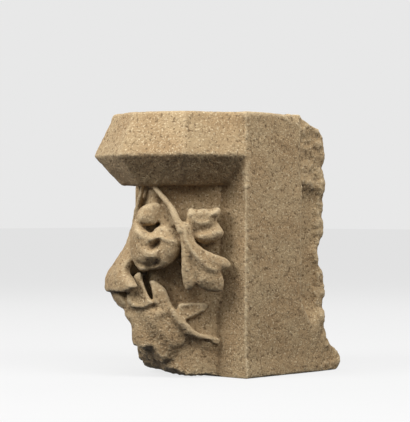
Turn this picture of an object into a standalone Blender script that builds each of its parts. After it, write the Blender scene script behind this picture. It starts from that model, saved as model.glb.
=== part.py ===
"""Carved corbel stone: the end of a wall block with a half octagon abacus over a leafy bell.

Metres, +Z up. X runs along the wall, from the carved end at -X to the broken tail at +X.
Y runs through the wall. The origin is under the middle of the stone's box, on its bed.
"""

import math

import bmesh
import bpy
import numpy as np
from mathutils import Vector, noise

# Driving sizes of the wall block, from the middle of the half octagon
HEIGHT = 0.450
NEAR_FLANK = 0.150
NEAR_FOOT = 0.153
FAR_FLANK = 0.114
TAIL_REACH = 0.263

# Driving sizes of the abacus, a half octagon whose middle lies on the end face
ABACUS_R = 0.153
ABACUS_TOP_R = 0.118
ABACUS_FOOT_R = 0.105
ABACUS_Z = 0.376
ABACUS_FOOT_Z = 0.326

# The stopped groove down each flank, behind the plain jamb
JAMB = 0.1475
GROOVE_WIDTH = 0.058
GROOVE_DEPTH = 0.022
GROOVE_FOOT_Z = 0.075
GROOVE_HEAD_Z = 0.305

# The far lower front corner is knocked off to a round
CORNER_Y = 0.020
CORNER_Z = 0.075

# The broken tail
TAIL_X = 0.232
BREAK_ROUGH = 0.007
BREAK_SCALE = 0.045
SECTION_STEP = 0.015

# Sizes of the carving's mesh
SLAB_VOXEL = 0.0040
CARVING_VOXEL = 0.0036
CARVING_TRIANGLES = 6400

# Spare stock that is sawn off, clearance of a cut, and how far the abacus is set into the block
SPARE = 0.010
GAP = 0.0002
SETTING = 0.0004

# Where the middle of the half octagon stands, so that the stone's box is centred on the origin
FACE_X = (ABACUS_R - SETTING - TAIL_REACH) / 2
FACE_Y = (NEAR_FOOT - FAR_FLANK) / 2

STONE_NAME = "carved_corbel_stone"
STONE_COLOUR = (0.36, 0.28, 0.18, 1.0)
MM = 0.001


def clear_scene():
    """Removes whatever the scene holds at the start."""
    for thing in list(bpy.data.objects):
        bpy.data.objects.remove(thing, do_unlink=True)


def smooth_step(value):
    """Runs from 0 to 1 with level ends while value runs from 0 to 1."""
    t = np.clip(value, 0.0, 1.0)
    eased = t * t * (3.0 - 2.0 * t)
    return float(eased) if np.isscalar(value) else eased


def bump(value, middle, half_width):
    """A soft hump of height 1 round the middle."""
    return np.exp(-(((value - middle) / half_width) ** 2))


def rough(x, y, z, scale=BREAK_SCALE, seed=0.0):
    """Uneven break of the stone, about -1 to 1, with lumps of the given size."""
    place = Vector((x + seed, y - seed, z + 0.5 * seed)) / scale
    return 1.3 * noise.noise(place) + 0.5 * noise.noise(place * 2.3)


def new_object(name, mesh, collection):
    """Links a mesh to the collection under that name."""
    thing = bpy.data.objects.new(name, mesh)
    collection.objects.link(thing)
    return thing


def evaluated_mesh(thing):
    """The mesh of an object or a curve with its modifiers."""
    bpy.context.view_layer.update()
    graph = bpy.context.evaluated_depsgraph_get()
    return bpy.data.meshes.new_from_object(thing.evaluated_get(graph))


def settle(thing):
    """Puts the modifiers' result in the object's own mesh."""
    mesh = evaluated_mesh(thing)
    thing.modifiers.clear()
    thing.data = mesh
    return thing


def remesh(thing, voxel):
    """One even skin round everything in the object."""
    skin = thing.modifiers.new("skin", "REMESH")
    skin.mode = "VOXEL"
    skin.voxel_size = voxel
    return settle(thing)


def get_points(mesh):
    """The mesh's points as rows of x, y, z."""
    flat = np.zeros(len(mesh.vertices) * 3)
    mesh.vertices.foreach_get("co", flat)
    return flat.reshape(-1, 3)


def set_points(mesh, points):
    """Writes the points back."""
    mesh.vertices.foreach_set("co", np.asarray(points, np.float32).ravel())
    mesh.update()


def loft(name, sections, collection):
    """Closed solid through loops of equal length, from the lowest to the highest."""
    count = len(sections[0])
    points = [p for section in sections for p in section]
    faces = [tuple(reversed(range(count)))]
    for level in range(len(sections) - 1):
        low = level * count
        for i in range(count):
            j = (i + 1) % count
            faces.append((low + i, low + j, low + count + j, low + count + i))
    top = (len(sections) - 1) * count
    faces.append(tuple(range(top, top + count)))
    mesh = bpy.data.meshes.new(name)
    mesh.from_pydata(points, [], faces)
    return new_object(name, mesh, collection)


# The wall block

def tail_x(z, y=-0.135):
    """How far the broken tail reaches at this height, foot and broken top corner included."""
    foot = (TAIL_REACH - TAIL_X) * smooth_step((0.062 - z) / 0.036)
    undercut = 0.008 * smooth_step((0.016 - z) / 0.016)
    slant = z + 0.35 * (y + 0.135)
    notch = 0.016 * bump(slant, 0.208, 0.020) + 0.007 * bump(slant, 0.085, 0.020)
    corner = 0.075 * smooth_step((z - 0.404) / 0.052) ** 1.3
    return float(TAIL_X + foot - undercut - notch * smooth_step((z - 0.040) / 0.030) - corner)


def near_side(z):
    """The block's plan along its near flank, from the front arris past the groove."""
    reach = tail_x(z)
    face = -NEAR_FLANK - (NEAR_FOOT - NEAR_FLANK) * smooth_step((0.035 - z) / 0.030)
    stop = smooth_step((0.130 - z) / 0.052)
    above = smooth_step((z - GROOVE_HEAD_Z + 0.010) / 0.045)
    lump = rough(0.2, face, z)
    arris = min(JAMB + 0.026 * stop - above * (0.007 + 0.004 * lump), reach - 0.040)
    outer = min(JAMB + GROOVE_WIDTH - 0.014 * stop, reach - 0.018)
    depth = GROOVE_DEPTH * smooth_step((z - GROOVE_FOOT_Z) / 0.045)
    head = 0.011 + 0.003 * lump
    depth += (head - depth) * above
    flank_break = smooth_step((z - 0.085) / 0.040) * max(0.009 + 0.005 * lump, 0.0)
    plan = (
        (0.0, 0.0),
        (arris, 0.0),
        (arris + 0.003 + 0.008 * above, depth),
        (outer - 0.008, depth),
        (outer, max(flank_break, depth - 0.010)),
        (reach - 0.010, flank_break + 0.004),
    )
    return [(x, face + inset, z) for x, inset in plan]


def far_side(z):
    """The plan along the far joint, whose lower front corner is knocked off round."""
    drop = min(max(CORNER_Z - z, 0.0) / CORNER_Z, 1.0)
    front = CORNER_Y + (FAR_FLANK - CORNER_Y) * math.sqrt(max(1.0 - drop ** 2, 0.0))
    front += SPARE * (1.0 - drop)
    joint = FAR_FLANK + SPARE
    middle = joint - 0.35 * (joint - front)
    return [(tail_x(z) - 0.008, joint, z), (0.125, joint, z), (0.055, middle, z),
            (0.0, front, z)]


def tail_side(z):
    """The plan across the broken tail."""
    points = []
    for y in np.linspace(-0.118, FAR_FLANK - 0.012, 11):
        lump = BREAK_ROUGH * rough(0.0, y, z) * smooth_step((z - 0.035) / 0.030)
        points.append((tail_x(z, y) + lump, y, z))
    return points


def block_levels():
    """Heights of the block's sections, closer together where the foot and the top turn."""
    plain = np.arange(0.075, 0.400, SECTION_STEP)
    return [-SPARE, 0.0, 0.008, 0.016, 0.028, 0.040, 0.052, 0.063] + list(plain) + [
        0.405, 0.413, 0.421, 0.429, 0.437, 0.444, HEIGHT, HEIGHT + SPARE]


def wall_block(collection):
    """The squared block with its stopped groove, its joint face and its broken tail."""
    sections = [near_side(z) + tail_side(z) + far_side(z) for z in map(float, block_levels())]
    return loft("wall_block", sections, collection)


def octagon(radius, z):
    """A level octagon with corners on the axes."""
    turns = [math.radians(45 * i) for i in range(8)]
    return [(SETTING + radius * math.cos(t), radius * math.sin(t), z) for t in turns]


def abacus(collection):
    """The half octagon moulding: one slope out, a sharp arris and one slope in."""
    slope = (ABACUS_R - ABACUS_TOP_R) / (HEIGHT - ABACUS_Z)
    whole = loft("abacus", [octagon(ABACUS_FOOT_R, ABACUS_FOOT_Z), octagon(ABACUS_R, ABACUS_Z),
                            octagon(ABACUS_TOP_R - slope * SPARE, HEIGHT + SPARE)], collection)
    cut = box("past_near_flank", (-1, -1, -1), (1, -NEAR_FLANK + GAP, 1), collection)
    return boolean(whole, [cut], "DIFFERENCE")


def box(name, low, high, collection):
    """A box between two corners."""
    mesh = bpy.data.meshes.new(name)
    cube = bmesh.new()
    bmesh.ops.create_cube(cube, size=1.0)
    size = np.subtract(high, low)
    bmesh.ops.scale(cube, verts=cube.verts, vec=tuple(size))
    bmesh.ops.translate(cube, verts=cube.verts, vec=tuple(np.add(low, high) / 2))
    cube.to_mesh(mesh)
    cube.free()
    return new_object(name, mesh, collection)


def boolean(body, others, operation):
    """Joins or cuts the body with the others, which are then removed."""
    for other in others:
        step = body.modifiers.new("step", "BOOLEAN")
        step.operation = operation
        step.solver = "EXACT"
        step.object = other
        settle(body)
        bpy.data.objects.remove(other, do_unlink=True)
    return body


# The carver's elevation: u runs to the right, z up and w out from the middle of the bell

def facing(angle, u, z, w):
    """Points of an elevation that faces the given compass angle, from mm to metres."""
    turn = math.radians(angle)
    u, z, w = np.broadcast_arrays(np.asarray(u, float), z, w)
    x = -math.sin(turn) * u + math.cos(turn) * w
    y = math.cos(turn) * u + math.sin(turn) * w
    return np.stack([x, y, z], axis=-1) * MM


def smooth_line(points, closed, steps=5):
    """A smooth curve through the points. A point with a third value of 1 stays a corner."""
    spots = np.array([p[:2] for p in points], float)
    corner = [len(p) > 2 for p in points]
    count = len(spots)
    out = []
    last = count if closed else count - 1
    for i in range(last):
        a, b = spots[i], spots[(i + 1) % count]
        before = spots[(i - 1) % count] if closed or i > 0 else a
        after = spots[(i + 2) % count] if closed or i + 2 < count else b
        leave = (b - a) if corner[i] else (b - before) / 2
        arrive = (b - a) if corner[(i + 1) % count] else (after - a) / 2
        for k in range(steps):
            t = k / steps
            h1 = 2 * t ** 3 - 3 * t ** 2 + 1
            h2 = t ** 3 - 2 * t ** 2 + t
            h3 = -2 * t ** 3 + 3 * t ** 2
            h4 = t ** 3 - t ** 2
            out.append(h1 * a + h2 * leave + h3 * b + h4 * arrive)
    if not closed:
        out.append(spots[-1])
    return np.array(out)


def distance_to(line, points, closed=False):
    """Distance of each point to a run of straight pieces, in the line's plane."""
    ends = np.roll(line, -1, axis=0) if closed else line[1:]
    starts = line if closed else line[:-1]
    best = np.full(len(points), 1e9)
    for a, b in zip(starts, ends):
        run = b - a
        share = ((points - a) @ run) / max(run @ run, 1e-9)
        near = a + np.clip(share, 0, 1)[:, None] * run
        best = np.minimum(best, np.linalg.norm(points - near, axis=1))
    return best


def flat_slab(name, outline, half_thick, collection):
    """The outline, in mm, as a closed slab in metres that lies in X and Y."""
    curve = bpy.data.curves.new(name, "CURVE")
    curve.dimensions = "2D"
    curve.fill_mode = "BOTH"
    curve.extrude = half_thick * MM
    spline = curve.splines.new("POLY")
    spline.points.add(len(outline) - 1)
    for point, (u, z) in zip(spline.points, outline):
        point.co = (u * MM, z * MM, 0, 1)
    spline.use_cyclic_u = True
    guide = new_object(name, curve, collection)
    mesh = evaluated_mesh(guide)
    bpy.data.objects.remove(guide, do_unlink=True)
    weld = bmesh.new()
    weld.from_mesh(mesh)
    bmesh.ops.remove_doubles(weld, verts=weld.verts, dist=0.00001)
    bmesh.ops.recalc_face_normals(weld, faces=weld.faces)
    weld.to_mesh(mesh)
    weld.free()
    return new_object(name, mesh, collection)


def leaf(name, collection, angle, outline, middle, front, back, rim=3.0, edge=9.0, relief=()):
    """A carved leaf: a slab of that outline, bent to the middle surface and swelled.

    outline is in mm across and up. middle(u, z) gives how far out the leaf's middle lies,
    front and back how thick it swells, rim its half thickness at the margin and edge how
    far in from the margin it reaches its full swell. relief holds raised or sunk lines:
    (points, height, half width).
    """
    half = 8.0
    margin = smooth_line(outline, closed=True)
    thing = remesh(flat_slab(name, margin, half, collection), SLAB_VOXEL)
    flat = get_points(thing.data) / MM
    place = flat[:, :2]
    inward = distance_to(margin, place, closed=True)
    swell = np.sqrt(1 - (1 - np.clip(inward / edge, 0, 1)) ** 2)
    top = rim + (front - rim) * swell
    for line, height, width in relief:
        away = distance_to(smooth_line(line, closed=False), place)
        top = top + height * np.exp(-((away / width) ** 2)) * (0.3 + 0.7 * swell)
    low = rim + (back - rim) * swell
    level = np.clip(flat[:, 2] / half, -1, 1)
    out = middle(place[:, 0], place[:, 1]) + np.where(level > 0, level * top, level * low)
    set_points(thing.data, facing(angle, place[:, 0], place[:, 1], out))
    return thing


def tube(name, collection, angle, path, radii):
    """A round stem or finger through points of u, z and w, with a radius at each, in mm."""
    curve = bpy.data.curves.new(name, "CURVE")
    curve.dimensions = "3D"
    curve.bevel_depth = MM
    curve.bevel_resolution = 3
    curve.use_fill_caps = True
    spline = curve.splines.new("NURBS")
    spline.points.add(len(path) - 1)
    spots = facing(angle, *np.array(path, float).T)
    for point, spot, radius in zip(spline.points, spots, radii):
        point.co = (*spot, 1)
        point.radius = radius
    spline.order_u = 3
    spline.use_endpoint_u = True
    spline.resolution_u = 4
    guide = new_object(name, curve, collection)
    mesh = evaluated_mesh(guide)
    bpy.data.objects.remove(guide, do_unlink=True)
    weld = bmesh.new()
    weld.from_mesh(mesh)
    bmesh.ops.remove_doubles(weld, verts=weld.verts, dist=0.00001)
    bmesh.ops.recalc_face_normals(weld, faces=weld.faces)
    weld.to_mesh(mesh)
    weld.free()
    return new_object(name, mesh, collection)


def knob(name, collection, angle, centre, radii):
    """A rounded boss at u, z, w with its half sizes across, up and out, in mm."""
    mesh = bpy.data.meshes.new(name)
    ball = bmesh.new()
    bmesh.ops.create_icosphere(ball, subdivisions=3, radius=1.0)
    ball.to_mesh(mesh)
    ball.free()
    unit = get_points(mesh)
    spots = unit * np.array(radii)[[0, 1, 2]] + np.array(centre)
    set_points(mesh, facing(angle, spots[:, 0], spots[:, 1], spots[:, 2]))
    thing = new_object(name, mesh, collection)
    return face_out(thing)


def face_out(thing):
    """Turns every face outward."""
    shell = bmesh.new()
    shell.from_mesh(thing.data)
    bmesh.ops.recalc_face_normals(shell, faces=shell.faces)
    shell.to_mesh(thing.data)
    shell.free()
    return thing


def bent(base, across=0.0, up=0.0, u0=0.0, z0=200.0, curl_u=0.0, curl_z=0.0):
    """A middle surface: so far out at u0, z0, sloping and curling back from there."""
    def surface(u, z):
        du, dz = u - u0, z - z0
        return base + across * du + up * dz - curl_u * du ** 2 - curl_z * dz ** 2
    return surface


def profile(*stations):
    """A middle surface that leans out by height only, through stations of z and w."""
    heights, reach = zip(*sorted(stations))

    def surface(u, z):
        return np.interp(z, heights, reach) - SIDE_CURL * u ** 2
    return surface


# The bell and its leaves, in mm

NEAR = 225.0
FAR = 135.0
SIDE = 165.0
SIDE_CURL = 0.004
BELL_PROFILE = ((330, 74), (300, 70), (262, 66), (215, 66), (175, 69), (150, 74), (128, 79),
                (104, 80), (60, 79), (30, 78), (-12, 78))
BELL_SWELL = 8.0
BELL_FLARE = 24.0
BELL_FLARE_REACH = 34.0


def bell_loop(z):
    """The bell's plan: round in front, fuller to the near side and flared at the end face."""
    heights, radii = zip(*BELL_PROFILE[::-1])
    turns = np.linspace(90, 270, 25)
    low = smooth_step((150.0 - z) / 50.0)
    r = np.interp(z, heights, radii) + BELL_SWELL * low * smooth_step((turns - 185) / 40)
    x = r * np.cos(np.radians(turns))
    flare = BELL_FLARE * (1.0 - 0.85 * low) * smooth_step(1.0 + x / BELL_FLARE_REACH)
    y = (r + flare) * np.sin(np.radians(turns))
    loop = [(a * MM, b * MM, z * MM) for a, b in zip(x, y)]
    return loop + [(0.012, loop[-1][1], z * MM), (0.012, loop[0][1], z * MM)]


def bell(collection):
    """The bell's core."""
    heights = np.linspace(BELL_PROFILE[-1][0], BELL_PROFILE[0][0], 30)
    return face_out(loft("bell", [bell_loop(float(z)) for z in heights], collection))


def across(side, points):
    """The points of an outline or a path, turned over for the far side."""
    turned = [(side * p[0], *p[1:]) for p in points]
    return turned if side > 0 else turned[::-1]


def ribs(side, lines):
    """Raised and sunk lines, turned over for the far side."""
    return [(across(side, line), height, width) for line, height, width in lines]


def pendant_leaf(collection, angle=NEAR, side=1, base=112, slope=-0.06):
    """The large three lobed leaf that hangs from the long stem, and the stone left behind it."""
    outline = [(-11, 262), (-4, 232), (-3, 208), (-3, 187), (-1, 166), (7, 150), (15, 152),
               (21, 162, 1), (26, 156), (38, 149), (54, 145), (66, 148), (69, 161), (66, 173),
               (59, 182, 1), (70, 185), (81, 191), (75, 200), (62, 206), (48, 211), (36, 217),
               (25, 226), (16, 240), (9, 262)]
    lines = [([(0, 256), (6, 232), (22, 206), (40, 188)], 5, 6),
             ([(14, 198), (17, 180), (20, 160)], -5, 5),
             ([(44, 170), (52, 160), (58, 152)], 3, 10),
             ([(44, 194), (56, 188), (62, 182)], -4, 5)]
    middle = bent(base, up=slope, u0=side * 12, z0=215, curl_u=0.0046, curl_z=0.0018)
    return [
        leaf("pendant_leaf", collection, angle, across(side, outline), middle, 9, 11, edge=9,
             relief=ribs(side, lines)),
        tube("pendant_root", collection, angle,
             across(side, [(10, 222, 50), (14, 215, base - 27), (18, 207, base - 4)]),
             [20, 15, 12][::side]),
    ]


def upper_leaf(collection, angle=NEAR, side=1, base=95):
    """The small worn leaf under the abacus, beside the stem."""
    outline = [(4, 254, 1), (6, 270), (8, 282), (14, 287), (24, 283), (34, 287), (46, 284),
               (61, 288), (62, 277), (55, 262, 1), (64, 254), (69, 246), (64, 237), (54, 230),
               (40, 227), (28, 231), (16, 240)]
    lines = [([(22, 250), (38, 256), (56, 261)], -7, 5), ([(14, 274), (32, 268), (54, 280)], 5, 6),
             ([(26, 238), (45, 239), (62, 246)], 5, 6)]
    middle = bent(base, up=0.05, u0=side * 20, z0=255, curl_u=0.004)
    return leaf("upper_leaf", collection, angle, across(side, outline), middle, 12, 20, edge=11,
                relief=ribs(side, lines))


def long_stem(collection, angle=NEAR, side=1, reach=112):
    """The stem that runs from under the abacus down to the hanging leaf."""
    share = (0, 0.26, 0.52, 0.74, 0.92, 1)
    path = [(u, z, 66 + k * (reach - 66)) for k, (u, z) in zip(share, (
        (-54, 332), (-42, 314), (-28, 300), (-17, 282), (-9, 262), (-2, 246)))]
    return tube("long_stem", collection, angle, across(side, path),
                [4, 4.5, 5, 6.5, 8, 8][::side])


def curled_leaf(collection):
    """The leaf that curls over into a bulb, with its hooked lip and the ball beneath."""
    return [
        knob("bulb", collection, NEAR, (-42, 221, 68), (36, 35, 26)),
        knob("bulb_left", collection, NEAR, (-68, 228, 78), (22, 38, 24)),
        tube("bulb_lip", collection, NEAR, [(-84, 262, 80), (-80, 250, 96), (-70, 243, 106),
                                            (-60, 240, 111), (-50, 238, 111)],
             [8, 10, 10, 8, 4]),
        tube("bulb_cheek", collection, NEAR, [(-82, 246, 92), (-80, 226, 94), (-76, 208, 92)],
             [10, 12, 11]),
        knob("bulb_ball", collection, NEAR, (-60, 209, 102), (16, 15, 13)),
        tube("bulb_hood", collection, NEAR, [(-54, 252, 92), (-36, 250, 100), (-20, 240, 101),
                                             (-20, 220, 99), (-30, 203, 99), (-48, 193, 100),
                                             (-68, 191, 96), (-80, 203, 88)],
             [6, 11, 15, 17, 14, 10, 8, 8]),
        tube("bulb_root", collection, NEAR, [(-30, 222, 40), (-38, 224, 70)], [26, 26]),
    ]


def upper_lobes(collection):
    """The two lobes above the curled leaf."""
    first = [(-79, 268), (-77, 281), (-70, 289), (-60, 294), (-50, 297), (-41, 295), (-39, 284),
             (-41, 268), (-52, 262), (-68, 262)]
    second = [(-35, 295), (-29, 293), (-22, 276), (-20, 258), (-34, 258)]
    return [
        leaf("upper_lobe", collection, NEAR, first,
             bent(80, u0=-58, z0=280, curl_u=0.008, up=-0.15), 16, 26, edge=12),
        leaf("small_lobe", collection, NEAR, second, bent(80, u0=-30, z0=275, up=-0.2), 9, 20,
             edge=8),
    ]


def neck_stems(collection):
    """The stems that rise to the abacus beside the long stem."""
    stems = ((150, 73, 4.5), (184, 70, 12))
    return [tube("neck_stem", collection, angle, [(0, 335, reach), (0, 300, reach),
                                                  (0, 262, reach + 5), (0, 235, reach + 14)],
                 [radius] * 4) for angle, reach, radius in stems]


def side_leaf(collection):
    """The crocket leaf at the side, that the near view shows edge on, and its lower lobe."""
    outline = [(-14, 248), (-28, 226), (-38, 206), (-48, 188), (-60, 172), (-64, 156), (-56, 145),
               (-44, 147, 1), (-42, 134), (-34, 121), (-20, 112), (-4, 112), (7, 120), (9, 134),
               (9, 145, 1), (22, 143), (34, 147), (38, 157), (27, 170), (18, 184), (16, 204),
               (9, 226), (0, 248)]
    lines = [([(-12, 232), (-16, 190), (-18, 130)], 4, 7), ([(6, 190), (8, 150)], -4, 5),
             ([(-38, 184), (-42, 150)], -4, 5)]
    middle = profile((250, 78), (226, 91), (212, 98), (194, 113), (180, 122), (165, 124),
                     (150, 121), (135, 116), (118, 107), (110, 102))
    return [
        leaf("side_leaf", collection, SIDE, outline, middle, 11, 12, rim=7, edge=10,
             relief=lines),
        tube("side_root", collection, SIDE, [(-12, 200, 50), (-14, 178, 112)], [22, 16]),
        tube("side_foot", collection, SIDE, [(-16, 118, 50), (-18, 124, 96)], [24, 14]),
    ]


def fingers(collection):
    """The two rounded lobes that stand up from the lower leaf, and its branching rib."""
    left = [(-92, 160), (-84, 176), (-74, 180), (-66, 174), (-58, 150), (-50, 128), (-70, 120),
            (-92, 132)]
    right = [(-50, 158), (-44, 163), (-36, 161), (-28, 150), (-21, 136), (-20, 122), (-40, 118),
             (-52, 134)]
    return [
        leaf("left_finger", collection, NEAR, left, bent(70, u0=-62, z0=140, across=0.45, up=-0.2),
             12, 30, edge=12, relief=[([(-62, 152), (-53, 130)], 3, 4)]),
        leaf("right_finger", collection, NEAR, right, bent(78, u0=-36, z0=140, across=0.1,
                                                           up=-0.15), 11, 26, edge=10),
        tube("branch", collection, NEAR, [(-36, 140, 80), (-25, 124, 86), (-15, 106, 89),
                                          (-5, 90, 89), (8, 78, 86), (18, 68, 80)],
             [6, 7, 7, 8, 8, 6]),
    ]


def lower_leaves(collection):
    """The broad worn leaf at the foot of the bell and its lobes to the right."""
    broad = [(-96, 124), (-78, 132), (-50, 130), (-26, 126), (-14, 108), (-2, 92), (10, 84),
             (12, 60), (6, 30), (4, -12), (-30, -12), (-60, 20), (-76, 44), (-84, 66), (-86, 88),
             (-98, 102)]
    low = [(2, 84), (22, 72), (42, 66), (63, 59), (70, 30), (70, -12), (-6, -12), (-6, 40)]
    right = [(-8, 122), (6, 128), (26, 128), (42, 124), (37, 112), (26, 108), (16, 101),
             (2, 98), (-10, 106)]
    broad_middle = bent(76, u0=-22, z0=88, across=-0.05, up=0.05, curl_u=0.0062, curl_z=0.0014)
    low_middle = bent(68, u0=20, z0=70, up=0.30, curl_u=0.0060, curl_z=0.0016)
    return [
        leaf("broad_leaf", collection, NEAR, broad, broad_middle, 18, 40, edge=16,
             relief=[([(-74, 118), (-44, 92), (-16, 62)], 4, 13),
                     ([(8, 66), (-10, 50), (-24, 34)], -4, 5)]),
        leaf("low_leaf", collection, NEAR, low, low_middle, 20, 40, edge=8,
             relief=[([(8, 70), (34, 40), (44, 8)], -3, 8)]),
        leaf("right_lobe", collection, NEAR, right, bent(80, u0=15, z0=112, curl_u=0.004),
             9, 20, edge=7, relief=[([(4, 100), (18, 104), (38, 112)], 3, 3)]),
    ]


def far_leaves(collection):
    """The bell's far side, plainer and flatter, after the near side."""
    return pendant_leaf(collection, FAR, -1, base=88, slope=-0.25) + [
        upper_leaf(collection, FAR, -1, base=70), long_stem(collection, FAR, -1, reach=80)]


def lost_foot(collection):
    """What has broken off below the bell: all that lies under a scooped, rising surface."""
    rise, height = zip((20, 5), (28, 6), (36, 9), (48, 14), (65, 28), (76, 43), (84, 53), (150, 56))
    mesh = bpy.data.meshes.new("lost_foot")
    sheet = bmesh.new()
    bmesh.ops.create_grid(sheet, x_segments=26, y_segments=26, size=130)
    for vert in sheet.verts:
        u, w = vert.co.x, vert.co.y
        lump = 3.0 * rough(u * MM, w * MM, 0.0, scale=0.030, seed=1.3)
        vert.co.z = float(np.interp(0.4 * w - u, rise, height)) + lump
    drawn = bmesh.ops.extrude_face_region(sheet, geom=sheet.faces[:])
    for vert in drawn["geom"]:
        if isinstance(vert, bmesh.types.BMVert):
            vert.co.z = -60
    for vert in sheet.verts:
        vert.co = facing(NEAR, vert.co.x, vert.co.z, vert.co.y)
    bmesh.ops.recalc_face_normals(sheet, faces=sheet.faces)
    sheet.to_mesh(mesh)
    sheet.free()
    return new_object("lost_foot", mesh, collection)


def carving(collection):
    """Bell and leaves as one skin, trimmed to the bed."""
    parts = [bell(collection), upper_leaf(collection), long_stem(collection)]
    for group in (pendant_leaf, curled_leaf, upper_lobes, neck_stems, side_leaf, fingers,
                  lower_leaves, far_leaves):
        parts.extend(group(collection))
    whole = join(parts)
    remesh(whole, CARVING_VOXEL)
    thin = whole.modifiers.new("thin", "DECIMATE")
    thin.ratio = CARVING_TRIANGLES / (2 * len(whole.data.polygons))
    settle(whole)
    return boolean(whole, [lost_foot(collection)], "DIFFERENCE")


def saw_flat(stone, collection):
    """Saws the bed, the top bed and the joint flat, through everything that stands past them."""
    cuts = [box("below_bed", (-1, -1, -1), (1, 1, 0), collection),
            box("above_top", (-1, -1, HEIGHT), (1, 1, 1), collection),
            box("past_joint", (-1, FAR_FLANK, -1), (1, 1, 1), collection)]
    return boolean(stone, cuts, "DIFFERENCE")


def join(parts):
    """One object that holds every part's mesh."""
    merged = bmesh.new()
    for part in parts:
        merged.from_mesh(part.data)
    for part in parts[1:]:
        bpy.data.objects.remove(part, do_unlink=True)
    merged.to_mesh(parts[0].data)
    merged.free()
    return parts[0]


def stone_material():
    """Weathered sandstone."""
    material = bpy.data.materials.new("weathered_sandstone")
    material.use_nodes = True
    shader = material.node_tree.nodes["Principled BSDF"]
    shader.inputs["Base Color"].default_value = STONE_COLOUR
    shader.inputs["Roughness"].default_value = 0.92
    shader.inputs["Metallic"].default_value = 0.0
    return material


def main():
    """Builds the stone."""
    clear_scene()
    collection = bpy.data.collections.new("carved_corbel")
    bpy.context.scene.collection.children.link(collection)
    stone = wall_block(collection)
    boolean(stone, [abacus(collection), carving(collection)], "UNION")
    saw_flat(stone, collection)
    stone.name = STONE_NAME
    stone.data.name = STONE_NAME
    set_points(stone.data, get_points(stone.data) + np.array([FACE_X, FACE_Y, 0]))
    stone.data.materials.clear()
    stone.data.materials.append(stone_material())
    return stone


if __name__ == "__main__":
    main()
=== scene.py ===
"""A carved corbel stone of weathered sandstone, and the plain studio that it stands in.

Metres, +Z up. The stone is built in the mason's own frame, whose origin lies under the middle
of the half octagon on the end face, and is then moved to where the CAD model stands.
"""

import math

import bmesh
import bpy
import numpy as np
from bpy.props import FloatProperty, FloatVectorProperty, PointerProperty
from mathutils import Matrix, Vector, noise


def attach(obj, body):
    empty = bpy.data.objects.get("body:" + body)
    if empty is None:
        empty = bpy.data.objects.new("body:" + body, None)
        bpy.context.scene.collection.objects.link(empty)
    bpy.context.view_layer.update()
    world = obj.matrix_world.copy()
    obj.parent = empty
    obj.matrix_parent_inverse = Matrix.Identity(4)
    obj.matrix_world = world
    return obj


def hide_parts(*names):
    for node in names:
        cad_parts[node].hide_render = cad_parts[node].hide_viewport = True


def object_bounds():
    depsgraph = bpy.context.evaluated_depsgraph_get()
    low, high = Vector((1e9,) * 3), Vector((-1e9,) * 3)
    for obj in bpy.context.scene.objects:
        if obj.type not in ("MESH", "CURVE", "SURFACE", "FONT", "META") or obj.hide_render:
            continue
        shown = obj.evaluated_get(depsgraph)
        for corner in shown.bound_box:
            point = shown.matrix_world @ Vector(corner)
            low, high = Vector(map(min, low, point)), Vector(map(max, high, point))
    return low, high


bl_info = {
    "name": "Weathered Corbel Stone",
    "version": (1, 0, 0),
    "blender": (4, 5, 0),
    "location": "View3D > Sidebar > Corbel",
    "description": "Builds a carved sandstone corbel stone and a plain studio for it",
    "category": "Add Mesh",
}

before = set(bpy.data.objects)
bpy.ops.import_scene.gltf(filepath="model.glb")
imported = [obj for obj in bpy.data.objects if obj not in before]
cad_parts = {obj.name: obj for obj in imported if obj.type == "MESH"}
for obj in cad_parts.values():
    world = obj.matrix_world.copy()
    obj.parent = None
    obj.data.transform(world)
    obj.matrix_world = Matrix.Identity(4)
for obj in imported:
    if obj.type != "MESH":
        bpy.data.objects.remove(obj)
CAD_LOW, CAD_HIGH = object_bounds()
NODE = "carved_corbel_stone"
BODY = "root"
PIECE = "weathered_corbel"

MM = 0.001

# The wall block, in metres from the middle of the half octagon
HEIGHT = CAD_HIGH.z - CAD_LOW.z
NEAR_FLANK = 0.150
NEAR_FOOT = 0.153
FAR_FLANK = 0.114
TAIL_REACH = 0.263
TAIL_X = 0.232
JAMB = 0.1475
GROOVE_WIDTH = 0.058
GROOVE_DEPTH = 0.022
GROOVE_FOOT_Z = 0.075
GROOVE_HEAD_Z = 0.305
CORNER_Y = 0.020
CORNER_Z = 0.075
BREAK_ROUGH = 0.007
BREAK_SCALE = 0.045

# The abacus, a half octagon with one slope out and one slope in
ABACUS_R = 0.153
ABACUS_TOP_R = 0.118
ABACUS_FOOT_R = 0.105
ABACUS_Z = 0.376
ABACUS_FOOT_Z = 0.326
SETTING = 0.0004
GAP = 0.0002

# Where the mason's frame stands in the CAD model's
SHIFT = Vector(((ABACUS_R - SETTING - TAIL_REACH) / 2, (NEAR_FOOT - FAR_FLANK) / 2, 0.0))

# Directions of the elevations, as compass angles about the middle of the half octagon
NEAR = 225.0
FAR = 135.0
SIDE = 165.0


def linear(hex_colour):
    """An sRGB hex colour as linear red, green, blue."""
    parts = [int(hex_colour[i:i + 2], 16) / 255 for i in (1, 3, 5)]
    return tuple(c / 12.92 if c <= 0.04045 else ((c + 0.055) / 1.055) ** 2.4 for c in parts)


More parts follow.
